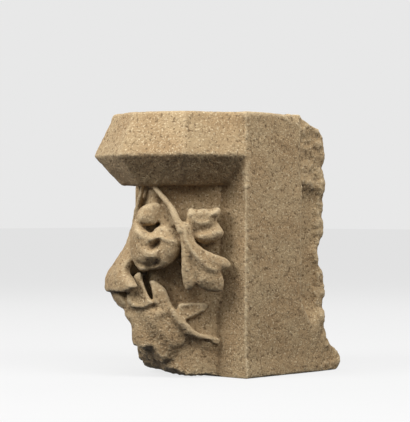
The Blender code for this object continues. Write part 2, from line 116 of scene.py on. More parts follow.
class CorbelSizes(bpy.types.PropertyGroup):
    """Sizes of the stone's surface that a user would change."""

    skin: FloatProperty(
        name="Skin", description="Edge length of the stone's mesh", default=0.0019,
        min=0.001, max=0.01, unit="LENGTH")
    arris_wear: FloatProperty(
        name="Arris wear", description="How far worn arrises are rounded", default=0.006,
        min=0.0, max=0.02, unit="LENGTH")
    grain_depth: FloatProperty(
        name="Grain depth", description="Height of the coarse grain that stands in the mesh",
        default=0.0006, min=0.0, max=0.003, unit="LENGTH")
    pit_depth: FloatProperty(
        name="Pit depth", description="Depth of the larger pits", default=0.0014,
        min=0.0, max=0.005, unit="LENGTH")
    break_depth: FloatProperty(
        name="Break depth", description="Height of the lumps on broken faces", default=0.0040,
        min=0.0, max=0.02, unit="LENGTH")


class CorbelColours(bpy.types.PropertyGroup):
    """Colours of the stone."""

    body: FloatVectorProperty(
        name="Stone", description="The sandstone's own colour", subtype="COLOR",
        default=linear("#A08A69"), min=0.0, max=1.0)
    pale: FloatVectorProperty(
        name="Pale grains", description="Light grains and worn arrises", subtype="COLOR",
        default=linear("#CDBB9A"), min=0.0, max=1.0)
    dark: FloatVectorProperty(
        name="Dark grains", description="Pits and dark grains", subtype="COLOR",
        default=linear("#54402A"), min=0.0, max=1.0)
    iron: FloatVectorProperty(
        name="Iron stain", description="Brown stain of iron in the stone", subtype="COLOR",
        default=linear("#7D5A34"), min=0.0, max=1.0)
    # Soil colour, also used as painted shade that darkens the hollows
    soil_and_painted_shade: FloatVectorProperty(
        name="Soil", description="Old dirt in the hollows", subtype="COLOR",
        default=linear("#4A3420"), min=0.0, max=1.0)


class StudioSettings(bpy.types.PropertyGroup):
    """The studio round the stone."""

    floor: FloatVectorProperty(
        name="Floor", description="Colour of the floor and the backdrop", subtype="COLOR",
        default=linear("#E8E8E8"), min=0.0, max=1.0)
    light: FloatProperty(
        name="Light", description="How bright all the soft boxes are", default=1.0, min=0.0,
        subtype="FACTOR")


# Plain tools

def smooth_step(value):
    """Runs from 0 to 1 with level ends while value runs from 0 to 1."""
    t = np.clip(value, 0.0, 1.0)
    eased = t * t * (3.0 - 2.0 * t)
    return float(eased) if np.isscalar(value) else eased


def bump(value, middle, half_width):
    """A soft hump of height 1 round the middle."""
    return np.exp(-(((value - middle) / half_width) ** 2))


def rough(x, y, z, scale=BREAK_SCALE, seed=0.0):
    """Uneven break of the stone, about -1 to 1, with lumps of the given size."""
    place = Vector((x + seed, y - seed, z + 0.5 * seed)) / scale
    return 1.3 * noise.noise(place) + 0.5 * noise.noise(place * 2.3)


def lattice_noise(points, size, seed):
    """Smooth noise from -1 to 1 with features of that size, at every point at once."""
    spots = points / size + seed * 17.31
    cell = np.floor(spots).astype(np.int64)
    share = spots - cell
    ease = share ** 3 * (share * (share * 6 - 15) + 10)
    total = np.zeros(len(points))
    for corner in range(8):
        step = np.array([corner & 1, corner >> 1 & 1, corner >> 2 & 1])
        at = cell + step
        mixed = (at[:, 0] * 73856093 ^ at[:, 1] * 19349663 ^ at[:, 2] * 83492791) + seed * 2654435
        mixed = (mixed ^ (mixed >> 13)) * 1274126177 & 0x7FFFFFFF
        turn = (mixed & 0xFFFF) / 65535.0 * 2 * math.pi
        level = ((mixed >> 16) & 0x7FFF) / 32767.0 * 2 - 1
        flat = np.sqrt(1 - level ** 2)
        away = share - step
        slope = away[:, 0] * flat * np.cos(turn) + away[:, 1] * flat * np.sin(turn)
        slope += away[:, 2] * level
        total += slope * np.prod(np.where(step == 1, ease, 1 - ease), axis=1)
    return total * 1.5


def layered_noise(points, size, seed, layers=3):
    """Noise with finer layers on top of coarse ones."""
    return sum(lattice_noise(points, size / 2 ** i, seed + i) / 2 ** i for i in range(layers))


def pit_field(points, size, seed):
    """Depth from 0 to 1 of round pits of uneven size, about that far apart."""
    spots = points / size + seed * 3.7
    cell = np.floor(spots).astype(np.int64)
    depth = np.zeros(len(points))
    for i in range(27):
        at = cell + np.array([i % 3 - 1, i // 3 % 3 - 1, i // 9 - 1])
        mixed = (at[:, 0] * 73856093 ^ at[:, 1] * 19349663 ^ at[:, 2] * 83492791) + seed * 9176
        mixed = (mixed ^ (mixed >> 11)) * 1103515245 & 0x7FFFFFFF
        jitter = np.stack([(mixed & 1023), (mixed >> 10 & 1023), (mixed >> 20 & 1023)], 1) / 1023
        away = np.linalg.norm(at + jitter - spots, axis=1)
        radius = 0.12 + 0.38 * ((mixed >> 5 & 255) / 255.0) ** 2
        depth = np.maximum(depth, np.clip(1 - (away / radius) ** 2, 0, 1) * radius * 2)
    return depth


def new_object(name, mesh):
    """Links a mesh to the scene under that name."""
    thing = bpy.data.objects.new(name, mesh)
    bpy.context.scene.collection.objects.link(thing)
    return thing


def evaluated_mesh(thing):
    """The mesh of an object or a curve with its modifiers."""
    bpy.context.view_layer.update()
    graph = bpy.context.evaluated_depsgraph_get()
    return bpy.data.meshes.new_from_object(thing.evaluated_get(graph))


def settle(thing):
    """Puts the modifiers' result in the object's own mesh."""
    mesh = evaluated_mesh(thing)
    thing.modifiers.clear()
    thing.data = mesh
    return thing


def remesh(thing, voxel):
    """One even skin round everything in the object."""
    skin = thing.modifiers.new("skin", "REMESH")
    skin.mode = "VOXEL"
    skin.voxel_size = voxel
    return settle(thing)


def get_points(mesh):
    """The mesh's points as rows of x, y, z."""
    flat = np.zeros(len(mesh.vertices) * 3)
    mesh.vertices.foreach_get("co", flat)
    return flat.reshape(-1, 3)


def set_points(mesh, points):
    """Writes the points back."""
    mesh.vertices.foreach_set("co", np.asarray(points, np.float32).ravel())
    mesh.update()


def get_normals(mesh):
    """The normal at every point."""
    flat = np.zeros(len(mesh.vertices) * 3, np.float32)
    mesh.vertex_normals.foreach_get("vector", flat)
    return flat.reshape(-1, 3).astype(float)


def get_edges(mesh):
    """Pairs of neighbouring points."""
    flat = np.zeros(len(mesh.edges) * 2, np.int32)
    mesh.edges.foreach_get("vertices", flat)
    return flat.reshape(-1, 2)


def relaxed(points, edges, weight, times):
    """The points after moving each towards the middle of its neighbours, times over."""
    count = np.bincount(edges.ravel(), minlength=len(points)).astype(float)
    spots = points.copy()
    for _ in range(times):
        middle = np.empty_like(spots)
        for axis in range(3):
            line = spots[:, axis]
            middle[:, axis] = (
                np.bincount(edges[:, 0], line[edges[:, 1]], len(points))
                + np.bincount(edges[:, 1], line[edges[:, 0]], len(points))) / count
        spots += weight[:, None] * 0.5 * (middle - spots)
    return spots


def face_out(thing):
    """Turns every face outward."""
    shell = bmesh.new()
    shell.from_mesh(thing.data)
    bmesh.ops.recalc_face_normals(shell, faces=shell.faces)
    shell.to_mesh(thing.data)
    shell.free()
    return thing


def loft(name, sections):
    """Closed solid through loops of equal length, from the lowest to the highest."""
    count = len(sections[0])
    points = [p for section in sections for p in section]
    faces = [tuple(reversed(range(count)))]
    for level in range(len(sections) - 1):
        low = level * count
        for i in range(count):
            j = (i + 1) % count
            faces.append((low + i, low + j, low + count + j, low + count + i))
    top = (len(sections) - 1) * count
    faces.append(tuple(range(top, top + count)))
    mesh = bpy.data.meshes.new(name)
    mesh.from_pydata(points, [], faces)
    return new_object(name, mesh)


def box(name, low, high):
    """A box between two corners."""
    mesh = bpy.data.meshes.new(name)
    cube = bmesh.new()
    bmesh.ops.create_cube(cube, size=1.0)
    bmesh.ops.scale(cube, verts=cube.verts, vec=tuple(np.subtract(high, low)))
    bmesh.ops.translate(cube, verts=cube.verts, vec=tuple(np.add(low, high) / 2))
    cube.to_mesh(mesh)
    cube.free()
    return new_object(name, mesh)


def cut_away(body, cutter):
    """Cuts the cutter out of the body and removes it."""
    step = body.modifiers.new("step", "BOOLEAN")
    step.operation = "DIFFERENCE"
    step.solver = "EXACT"
    step.object = cutter
    settle(body)
    bpy.data.objects.remove(cutter, do_unlink=True)
    return body


def join(parts):
    """One object that holds every part's mesh."""
    merged = bmesh.new()
    for part in parts:
        merged.from_mesh(part.data)
    for part in parts[1:]:
        bpy.data.objects.remove(part, do_unlink=True)
    merged.to_mesh(parts[0].data)
    merged.free()
    return parts[0]


# The wall block and the abacus

def tail_x(z, y=-0.135):
    """How far the broken tail reaches at this height, foot and broken top corner included."""
    foot = (TAIL_REACH - TAIL_X) * smooth_step((0.062 - z) / 0.036)
    undercut = 0.008 * smooth_step((0.016 - z) / 0.016)
    slant = z + 0.35 * (y + 0.135)
    notch = 0.016 * bump(slant, 0.208, 0.020) + 0.007 * bump(slant, 0.085, 0.020)
    corner = 0.075 * smooth_step((z - 0.404) / 0.052) ** 1.3
    return float(TAIL_X + foot - undercut - notch * smooth_step((z - 0.040) / 0.030) - corner)


def near_side(z):
    """The block's plan along its near flank, from the front arris past the groove."""
    reach = tail_x(z)
    face = -NEAR_FLANK - (NEAR_FOOT - NEAR_FLANK) * smooth_step((0.035 - z) / 0.030)
    stop = smooth_step((0.130 - z) / 0.052)
    above = smooth_step((z - GROOVE_HEAD_Z + 0.010) / 0.045)
    lump = rough(0.2, face, z)
    arris = min(JAMB + 0.026 * stop - above * (0.007 + 0.004 * lump), reach - 0.040)
    outer = min(JAMB + GROOVE_WIDTH - 0.014 * stop, reach - 0.018)
    depth = GROOVE_DEPTH * smooth_step((z - GROOVE_FOOT_Z) / 0.045)
    head = 0.011 + 0.003 * lump
    depth += (head - depth) * above
    flank_break = smooth_step((z - 0.085) / 0.040) * max(0.009 + 0.005 * lump, 0.0)
    plan = (
        (0.0, 0.0),
        (arris, 0.0),
        (arris + 0.003 + 0.008 * above, depth),
        (outer - 0.008, depth),
        (outer, max(flank_break, depth - 0.010)),
        (reach - 0.010, flank_break + 0.004),
    )
    return [(x, face + inset, z) for x, inset in plan]


def far_side(z):
    """The plan along the far joint, whose lower front corner is knocked off round."""
    drop = min(max(CORNER_Z - z, 0.0) / CORNER_Z, 1.0)
    front = CORNER_Y + (FAR_FLANK - CORNER_Y) * math.sqrt(max(1.0 - drop ** 2, 0.0))
    middle = FAR_FLANK - 0.35 * (FAR_FLANK - front)
    return [(tail_x(z) - 0.008, FAR_FLANK, z), (0.125, FAR_FLANK, z), (0.055, middle, z),
            (0.0, front, z)]


def tail_side(z):
    """The plan across the broken tail."""
    points = []
    for y in np.linspace(-0.118, FAR_FLANK - 0.012, 24):
        lump = BREAK_ROUGH * rough(0.0, y, z) * smooth_step((z - 0.035) / 0.030)
        points.append((tail_x(z, y) + lump, y, z))
    return points


def wall_block():
    """The squared block with its stopped groove, its joint face and its broken tail."""
    heights = np.linspace(0.0, HEIGHT, 91)
    sections = [near_side(z) + tail_side(z) + far_side(z) for z in map(float, heights)]
    return loft("wall_block", sections)


def octagon(radius, z):
    """A level octagon with corners on the axes."""
    turns = [math.radians(45 * i) for i in range(8)]
    return [(SETTING + radius * math.cos(t), radius * math.sin(t), z) for t in turns]


def abacus():
    """The half octagon moulding: one slope out, a sharp arris and one slope in."""
    whole = loft("abacus", [octagon(ABACUS_FOOT_R, ABACUS_FOOT_Z), octagon(ABACUS_R, ABACUS_Z),
                            octagon(ABACUS_TOP_R, HEIGHT)])
    cut_away(whole, box("past_near_flank", (-1, -1, -1), (1, -NEAR_FLANK + GAP, 1)))
    return cut_away(whole, box("past_joint", (-1, FAR_FLANK - GAP, -1), (1, 1, 1)))


# The carver's elevation: u runs to the right, z up and w out from the middle of the bell

def facing(angle, u, z, w):
    """Points of an elevation that faces the given compass angle, from mm to metres."""
    turn = math.radians(angle)
    u, z, w = np.broadcast_arrays(np.asarray(u, float), z, w)
    x = -math.sin(turn) * u + math.cos(turn) * w
    y = math.cos(turn) * u + math.sin(turn) * w
    return np.stack([x, y, z], axis=-1) * MM


def elevation(angle, points):
    """u, z and w in mm of points in metres: the other way round."""
    turn = math.radians(angle)
    x, y, z = (points / MM).T
    return -math.sin(turn) * x + math.cos(turn) * y, z, math.cos(turn) * x + math.sin(turn) * y


def smooth_line(points, closed, steps=6):
    """A smooth curve through the points. A point with a third value of 1 stays a corner."""
    spots = np.array([p[:2] for p in points], float)
    corner = [len(p) > 2 for p in points]
    count = len(spots)
    out = []
    last = count if closed else count - 1
    for i in range(last):
        a, b = spots[i], spots[(i + 1) % count]
        before = spots[(i - 1) % count] if closed or i > 0 else a
        after = spots[(i + 2) % count] if closed or i + 2 < count else b
        leave = (b - a) if corner[i] else (b - before) / 2
        arrive = (b - a) if corner[(i + 1) % count] else (after - a) / 2
        for k in range(steps):
            t = k / steps
            h1 = 2 * t ** 3 - 3 * t ** 2 + 1
            h2 = t ** 3 - 2 * t ** 2 + t
            h3 = -2 * t ** 3 + 3 * t ** 2
            h4 = t ** 3 - t ** 2
            out.append(h1 * a + h2 * leave + h3 * b + h4 * arrive)
    if not closed:
        out.append(spots[-1])
    return np.array(out)


def distance_to(line, points, closed=False):
    """Distance of each point to a run of straight pieces, in the line's plane."""
    ends = np.roll(line, -1, axis=0) if closed else line[1:]
    starts = line if closed else line[:-1]
    best = np.full(len(points), 1e9)
    for a, b in zip(starts, ends):
        run = b - a
        share = ((points - a) @ run) / max(run @ run, 1e-9)
        near = a + np.clip(share, 0, 1)[:, None] * run
        best = np.minimum(best, np.linalg.norm(points - near, axis=1))
    return best


def from_curve(name, curve):
    """The curve's solid as a closed mesh object."""
    guide = bpy.data.objects.new(name, curve)
    bpy.context.scene.collection.objects.link(guide)
    mesh = evaluated_mesh(guide)
    bpy.data.objects.remove(guide, do_unlink=True)
    weld = bmesh.new()
    weld.from_mesh(mesh)
    bmesh.ops.remove_doubles(weld, verts=weld.verts, dist=0.00001)
    bmesh.ops.recalc_face_normals(weld, faces=weld.faces)
    weld.to_mesh(mesh)
    weld.free()
    return new_object(name, mesh)


def flat_slab(name, outline, half_thick):
    """The outline, in mm, as a closed slab in metres that lies in X and Y."""
    curve = bpy.data.curves.new(name, "CURVE")
    curve.dimensions = "2D"
    curve.fill_mode = "BOTH"
    curve.extrude = half_thick * MM
    spline = curve.splines.new("POLY")
    spline.points.add(len(outline) - 1)
    for point, (u, z) in zip(spline.points, outline):
        point.co = (u * MM, z * MM, 0, 1)
    spline.use_cyclic_u = True
    return from_curve(name, curve)


def leaf(name, angle, outline, middle, front, back, rim=3.0, edge=9.0, relief=()):
    """A carved leaf: a slab of that outline, bent to the middle surface and swelled.

    outline is in mm across and up. middle(u, z) gives how far out the leaf's middle lies,
    front and back how thick it swells, rim its half thickness at the margin and edge how
    far in from the margin it reaches its full swell. relief holds raised or sunk lines:
    (points, height, half width).
    """
    half = 8.0
    margin = smooth_line(outline, closed=True)
    thing = remesh(flat_slab(name, margin, half), 0.0020)
    flat = get_points(thing.data) / MM
    place = flat[:, :2]
    inward = distance_to(margin, place, closed=True)
    swell = np.sqrt(1 - (1 - np.clip(inward / edge, 0, 1)) ** 2)
    top = rim + (front - rim) * swell
    for line, height, width in relief:
        away = distance_to(smooth_line(line, closed=False), place)
        top = top + height * np.exp(-((away / width) ** 2)) * (0.3 + 0.7 * swell)
    low = rim + (back - rim) * swell
    level = np.clip(flat[:, 2] / half, -1, 1)
    out = middle(place[:, 0], place[:, 1]) + np.where(level > 0, level * top, level * low)
    set_points(thing.data, facing(angle, place[:, 0], place[:, 1], out))
    return thing


def tube(name, angle, path, radii):
    """A round stem or finger through points of u, z and w, with a radius at each, in mm."""
    curve = bpy.data.curves.new(name, "CURVE")
    curve.dimensions = "3D"
    curve.bevel_depth = MM
    curve.bevel_resolution = 4
    curve.use_fill_caps = True
    spline = curve.splines.new("NURBS")
    spline.points.add(len(path) - 1)
    spots = facing(angle, *np.array(path, float).T)
    for point, spot, radius in zip(spline.points, spots, radii):
        point.co = (*spot, 1)
        point.radius = radius
    spline.order_u = 3
    spline.use_endpoint_u = True
    spline.resolution_u = 8
    return from_curve(name, curve)


def knob(name, angle, centre, radii):
    """A rounded boss at u, z, w with its half sizes across, up and out, in mm."""
    mesh = bpy.data.meshes.new(name)
    ball = bmesh.new()
    bmesh.ops.create_icosphere(ball, subdivisions=4, radius=1.0)
    ball.to_mesh(mesh)
    ball.free()
    spots = get_points(mesh) * np.array(radii) + np.array(centre)
    set_points(mesh, facing(angle, spots[:, 0], spots[:, 1], spots[:, 2]))
    return face_out(new_object(name, mesh))


def bent(base, across=0.0, up=0.0, u0=0.0, z0=200.0, curl_u=0.0, curl_z=0.0):
    """A middle surface: so far out at u0, z0, sloping and curling back from there."""
    def surface(u, z):
        du, dz = u - u0, z - z0
        return base + across * du + up * dz - curl_u * du ** 2 - curl_z * dz ** 2
    return surface


def profile(*stations):
    """A middle surface that leans out by height only, through stations of z and w."""
    heights, reach = zip(*sorted(stations))

    def surface(u, z):
        return np.interp(z, heights, reach) - SIDE_CURL * u ** 2
    return surface


# The bell and its leaves, in mm

SIDE_CURL = 0.004
BELL_PROFILE = ((330, 74), (300, 70), (262, 66), (215, 66), (175, 68), (150, 71), (128, 74),
                (104, 75), (60, 76), (30, 77), (0, 78))
BELL_SWELL = 5.0
BELL_FLARE = 24.0
BELL_FLARE_REACH = 34.0


def bell_loop(z):
    """The bell's plan: round in front, fuller to the near side and flared at the end face."""
    heights, radii = zip(*BELL_PROFILE[::-1])
    turns = np.linspace(90, 270, 49)
    low = smooth_step((150.0 - z) / 50.0)
    r = np.interp(z, heights, radii) + BELL_SWELL * low * smooth_step((turns - 185) / 40)
    x = r * np.cos(np.radians(turns))
    flare = BELL_FLARE * (1.0 - 0.75 * low) * smooth_step(1.0 + x / BELL_FLARE_REACH)
    y = (r + flare) * np.sin(np.radians(turns))
    loop = [(a * MM, b * MM, z * MM) for a, b in zip(x, y)]
    return loop + [(0.012, loop[-1][1], z * MM), (0.012, loop[0][1], z * MM)]


def bell():
    """The bell's core."""
    heights = np.linspace(BELL_PROFILE[-1][0], BELL_PROFILE[0][0], 60)
    return face_out(loft("bell", [bell_loop(float(z)) for z in heights]))


def across(side, points):
    """The points of an outline or a path, turned over for the far side."""
    turned = [(side * p[0], *p[1:]) for p in points]
    return turned if side > 0 else turned[::-1]


def ribs(side, lines):
    """Raised and sunk lines, turned over for the far side."""
    return [(across(side, line), height, width) for line, height, width in lines]


def pendant_leaf(angle=NEAR, side=1, base=112, slope=-0.06):
    """The large three lobed leaf that hangs from the long stem, and the stone left behind it."""
    outline = [(-11, 262), (-4, 232), (-3, 208), (-3, 187), (-1, 166), (5, 151), (11, 150),
               (18, 157), (22, 162, 1), (26, 156), (38, 149), (54, 145), (66, 147), (70, 160),
               (66, 173), (60, 181, 1), (70, 184), (81, 191), (75, 200), (62, 206), (48, 211),
               (36, 217), (25, 226), (16, 240), (9, 262)]
    lines = [([(0, 256), (6, 232), (22, 206), (38, 190), (58, 182)], 5, 5),
             ([(13, 204), (16, 184), (22, 164)], -4, 4),
             ([(34, 168), (48, 164), (60, 156)], 3, 10),
             ([(40, 200), (56, 196), (68, 192)], 2, 5)]
    middle = bent(base, up=slope, u0=side * 12, z0=215, curl_u=0.0046, curl_z=0.0018)
    return [
        leaf("pendant_leaf", angle, across(side, outline), middle, 8, 11, edge=8,
             relief=ribs(side, lines)),
        tube("pendant_root", angle,
             across(side, [(10, 222, 50), (14, 215, base - 27), (18, 207, base - 4)]),
             [20, 15, 12][::side]),
    ]


def upper_leaf(angle=NEAR, side=1, base=95):
    """The small worn leaf under the abacus, beside the stem."""
    outline = [(4, 254, 1), (5, 270), (8, 283), (14, 287), (24, 284), (34, 286), (46, 284),
               (61, 288), (63, 278), (56, 265, 1), (64, 254), (69, 246), (64, 237), (54, 230),
               (40, 227), (26, 230), (15, 240)]
    lines = [([(18, 246), (36, 250), (56, 259)], -4, 4), ([(12, 276), (22, 262), (40, 264)], 3, 4),
             ([(34, 284), (36, 268)], -3, 4), ([(46, 276), (58, 282)], 3, 4),
             ([(26, 238), (45, 240), (62, 246)], 4, 6)]
    middle = bent(base, up=0.05, u0=side * 20, z0=255, curl_u=0.004)
    return [leaf("upper_leaf", angle, across(side, outline), middle, 11, 20, edge=9,
                 relief=ribs(side, lines))]


def long_stem(angle=NEAR, side=1, reach=112):
    """The stem that runs from under the abacus down to the hanging leaf."""
    share = (0, 0.26, 0.52, 0.74, 0.92, 1)
    path = [(u, z, 66 + k * (reach - 66)) for k, (u, z) in zip(share, (
        (-54, 332), (-42, 314), (-28, 300), (-17, 282), (-9, 262), (-2, 246)))]
    return [tube("long_stem", angle, across(side, path), [3.5, 4, 5, 6, 7.5, 8][::side])]


def curled_leaf():
    """The leaf that curls over into a bulb: a hooked lip, the hollow under it and a ball."""
    outline = [(-82, 266), (-89, 242), (-90, 218), (-84, 198), (-75, 185), (-67, 180), (-55, 183),
               (-39, 184), (-25, 190), (-13, 201), (-4, 214), (-1, 227), (-3, 240), (-11, 250),
               (-22, 256), (-35, 258), (-46, 254), (-53, 246), (-60, 249), (-68, 255), (-74, 264)]
    lines = [
        ([(-43, 231), (-47, 226), (-52, 222)], -17, 5.5),
        ([(-41, 222), (-38, 208), (-45, 195)], -6, 5),
        ([(-46, 194), (-56, 189), (-66, 190), (-76, 195)], -9, 3.5),
        ([(-64, 210), (-52, 208)], 5, 10),
        ([(-80, 248), (-70, 244), (-58, 240), (-45, 236)], 5, 7),
        ([(-41, 236), (-31, 235), (-19, 232), (-6, 230)], 3, 3),
        ([(-46, 243), (-32, 244), (-14, 240)], -2, 5),
        ([(-74, 187), (-60, 184), (-40, 186), (-24, 192)], 3, 4),
    ]
    middle = bent(92, across=0.10, u0=-46, z0=220, curl_u=0.0050, curl_z=0.0020)
    return [
        leaf("curled_leaf", NEAR, outline, middle, 22, 26, rim=5, edge=24, relief=lines),
        tube("bulb_root", NEAR, [(-32, 222, 40), (-42, 226, 76)], [26, 24]),
    ]


def upper_lobes():
    """The broken lobe over the curled leaf, and the worn one that leans on the stem."""
    first = [(-79, 264), (-78, 277), (-69, 289), (-57, 295), (-43, 296), (-37, 290), (-39, 274),
             (-45, 261), (-57, 257), (-71, 259)]
    second = [(-37, 294), (-27, 288), (-20, 274), (-14, 258), (-26, 255), (-40, 262)]
    return [
        leaf("upper_lobe", NEAR, first, bent(86, u0=-58, z0=276, curl_u=0.008, up=-0.10),
             14, 28, edge=10, relief=[([(-44, 290), (-46, 270)], -3, 3),
                                      ([(-70, 272), (-56, 276)], 2, 4)]),
        leaf("small_lobe", NEAR, second, bent(84, u0=-28, z0=272, up=-0.3), 8, 24, edge=8),
    ]


def neck_stems():
    """The stems that rise to the abacus beside the long stem."""
    stems = ((150, 73, 4.5), (184, 70, 12))
    return [tube("neck_stem", angle, [(0, 335, reach), (0, 300, reach), (0, 262, reach + 5),
                                      (0, 235, reach + 14)], [radius] * 4)
            for angle, reach, radius in stems]


def side_leaf():
    """The crocket leaf at the side, cut thin, and the lobe that is left under its foot."""
    outline = [(-14, 248), (-28, 226), (-38, 206), (-48, 190), (-60, 174), (-65, 158), (-62, 146),
               (-44, 143), (-14, 145), (23, 145, 1), (36, 149), (44, 155, 1), (34, 167), (21, 176),
               (14, 187), (16, 203), (10, 226), (0, 248)]
    lobe = [(-62, 166), (-60, 142), (-48, 128), (-36, 119), (-22, 113), (-6, 114), (2, 124),
            (-6, 136), (-14, 150), (-20, 168)]
    reach = profile((250, 80), (226, 92), (212, 99), (194, 112), (180, 120), (165, 125),
                    (150, 126), (140, 125))
    low = profile((170, 112), (150, 114), (135, 112), (118, 104), (110, 100))
    return [
        leaf("side_leaf", SIDE, outline, reach, 8, 9, rim=5, edge=7,
             relief=[([(-10, 240), (-8, 200), (4, 168)], 3, 6),
                     ([(-36, 190), (-34, 160)], -2, 9)]),
        leaf("side_lobe", SIDE, lobe, low, 9, 12, rim=5, edge=9),
        tube("side_root", SIDE, [(-14, 200, 50), (-16, 178, 112)], [20, 14]),
        tube("side_foot", SIDE, [(-16, 122, 50), (-22, 128, 98)], [24, 14]),
    ]


def fingers():
    """The two lobes that stand up from the lower leaf with a slit between them."""
    left = [(-74, 179), (-69, 173), (-66, 161), (-62, 149), (-56, 136), (-50, 127, 1), (-62, 118),
            (-82, 118), (-94, 128), (-93, 148), (-86, 166)]
    right = [(-56, 164), (-49, 165), (-42, 161), (-29, 149), (-22, 133), (-18, 122), (-34, 117),
             (-47, 124), (-50, 136), (-53, 151)]
    return [
        leaf("left_finger", NEAR, left, bent(82, u0=-60, z0=140, across=0.40, up=-0.18),
             8, 32, rim=3, edge=8, relief=[([(-67, 160), (-62, 148), (-56, 135), (-52, 128)], 3, 3),
                                           ([(-84, 156), (-80, 132)], -3, 7)]),
        leaf("right_finger", NEAR, right, bent(84, u0=-40, z0=140, across=0.05, up=-0.12),
             8, 28, rim=3, edge=7, relief=[([(-52, 151), (-49, 141), (-46, 129)], 2.5, 3)]),
    ]


def branch():
    """The raised rib that runs down from the fingers and out along the lowest lobe."""
    path = [(-38, 138, 80), (-28, 126, 88), (-20, 116, 91), (-12, 105, 92), (2, 89, 91),
            (15, 75, 88), (36, 68, 80), (62, 62, 68)]
    return [tube("branch", NEAR, path, [5, 6, 7, 7.5, 8, 7, 5, 4])]


def lower_leaves():
    """The broad worn leaf at the foot of the bell and its lobes to the right."""
    broad = [(-98, 104), (-97, 122), (-80, 130), (-50, 130), (-28, 128), (-16, 110), (-2, 93),
             (12, 80), (14, 68), (6, 56), (-8, 44), (-20, 33), (-30, 25), (-44, 8), (-66, 16),
             (-80, 44), (-86, 66), (-88, 88)]
    low = [(4, 84), (18, 74), (38, 68), (64, 61), (70, 30), (70, -12), (20, -12), (8, 40)]
    right = [(-8, 124), (4, 127), (20, 127), (41, 125), (38, 114), (28, 109), (17, 102),
             (4, 99), (-8, 104)]
    broad_middle = bent(80, u0=-22, z0=88, across=-0.02, up=0.06, curl_u=0.0062, curl_z=0.0012)
    low_middle = bent(70, u0=20, z0=70, up=0.24, across=-0.1, curl_u=0.0050, curl_z=0.0010)
    return [
        leaf("broad_leaf", NEAR, broad, broad_middle, 13, 40, edge=13, relief=[
            ([(-81, 118), (-64, 123), (-49, 121)], -4, 4),
            ([(-44, 108), (-34, 112)], 4, 7),
            ([(-91, 113), (-84, 110)], -8, 4),
            ([(-60, 106), (-40, 84), (-18, 60)], 3, 12),
            ([(-74, 100), (-62, 78), (-50, 64)], -3, 9),
            ([(10, 66), (2, 52), (-12, 40), (-24, 30)], 3, 5)]),
        leaf("low_leaf", NEAR, low, low_middle, 14, 40, edge=7,
             relief=[([(36, 34), (48, 26), (60, 16)], -4, 4), ([(30, 44), (44, 10)], -2, 9)]),
        leaf("right_lobe", NEAR, right, bent(82, u0=15, z0=112, across=-0.2, curl_u=0.003),
             8, 20, edge=6, relief=[([(4, 101), (16, 104), (27, 110), (38, 114)], 3, 2.5),
                                    ([(0, 117), (24, 118)], -2, 5)]),
    ]


def far_leaves():
    """The bell's far side, plainer and flatter, after the near side."""
    return (pendant_leaf(FAR, -1, base=88, slope=-0.25) + upper_leaf(FAR, -1, base=70)
            + long_stem(FAR, -1, reach=80))


def broken_level(u, w):
    """Height in mm below which the stone has broken off under the bell."""
    rise, height = zip((20, 5), (28, 6), (36, 9), (48, 14), (65, 28), (76, 43), (84, 53),
                       (150, 56))
    return np.interp(0.4 * w - u, rise, height)


def carving():
    """Bell and leaves as one skin, kept inside the joint face and off the broken foot."""
    parts = [bell()]
    for group in (pendant_leaf, upper_leaf, long_stem, curled_leaf, upper_lobes, neck_stems,
                  side_leaf, fingers, branch, lower_leaves, far_leaves):
        parts.extend(group())
    whole = remesh(join(parts), 0.0018)
    points = get_points(whole.data)
    points[:, 1] = np.minimum(points[:, 1], FAR_FLANK - GAP)
    u, z, w = elevation(NEAR, points)
    lump = 2.5 * lattice_noise(points, 0.026, 5) + 1.2 * lattice_noise(points, 0.010, 6)
    points[:, 2] = np.maximum(z, broken_level(u, w) + lump) * MM
    set_points(whole.data, points)
    return whole


# The stone's worn skin

def chipped_skin(thing, sizes):
    """Wears the arrises, roughens the breaks and pits the faces. Returns what paints it."""
    mesh = thing.data
    points = get_points(mesh)
    edges = get_edges(mesh)
    everywhere = np.ones(len(points))
    x, y, z = points.T

    on_carving = smooth_step((0.004 - x) / 0.004) * smooth_step((ABACUS_FOOT_Z + 0.002 - z) / 0.004)
    strength = 1.0 - 0.85 * on_carving
    uneven = 0.6 + 0.8 * (layered_noise(points, 0.030, 3) * 0.5 + 0.5)
    times = int(round((sizes.arris_wear / sizes.skin) ** 2 * 2.0))
    points = relaxed(points, edges, np.clip(strength * uneven, 0, 1), times)
    set_points(mesh, points)

    normals = get_normals(mesh)
    broken = break_share(points, normals)
    bed = smooth_step((0.003 - z) / 0.002)
    joint = smooth_step((y - FAR_FLANK + 0.003) / 0.002)
    free = (1 - bed) * (1 - joint)
    rise = 0.0012 * layered_noise(points, 0.040, 11)
    rise += sizes.grain_depth * layered_noise(points, 0.0075, 21, 2)
    rise -= sizes.pit_depth * pit_field(points, 0.012, 31) * (0.35 + 0.65 * broken)
    rise += broken * sizes.break_depth * layered_noise(points, 0.024, 41)
    points = points + normals * (rise * free)[:, None]
    low, high = np.array(CAD_LOW) - np.array(SHIFT), np.array(CAD_HIGH) - np.array(SHIFT)
    points = np.clip(points, low - [0.002, 0.002, 0], high + [0.002, 0.0, 0.0])
    set_points(mesh, points)

    smooth = relaxed(points, edges, everywhere, 24)
    normals = get_normals(mesh)
    # Concavity: drives the pale wear on ridges and the soil with painted shade in the hollows
    hollow = ((smooth - points) * normals).sum(1) / 0.002
    return {"hollow": hollow}


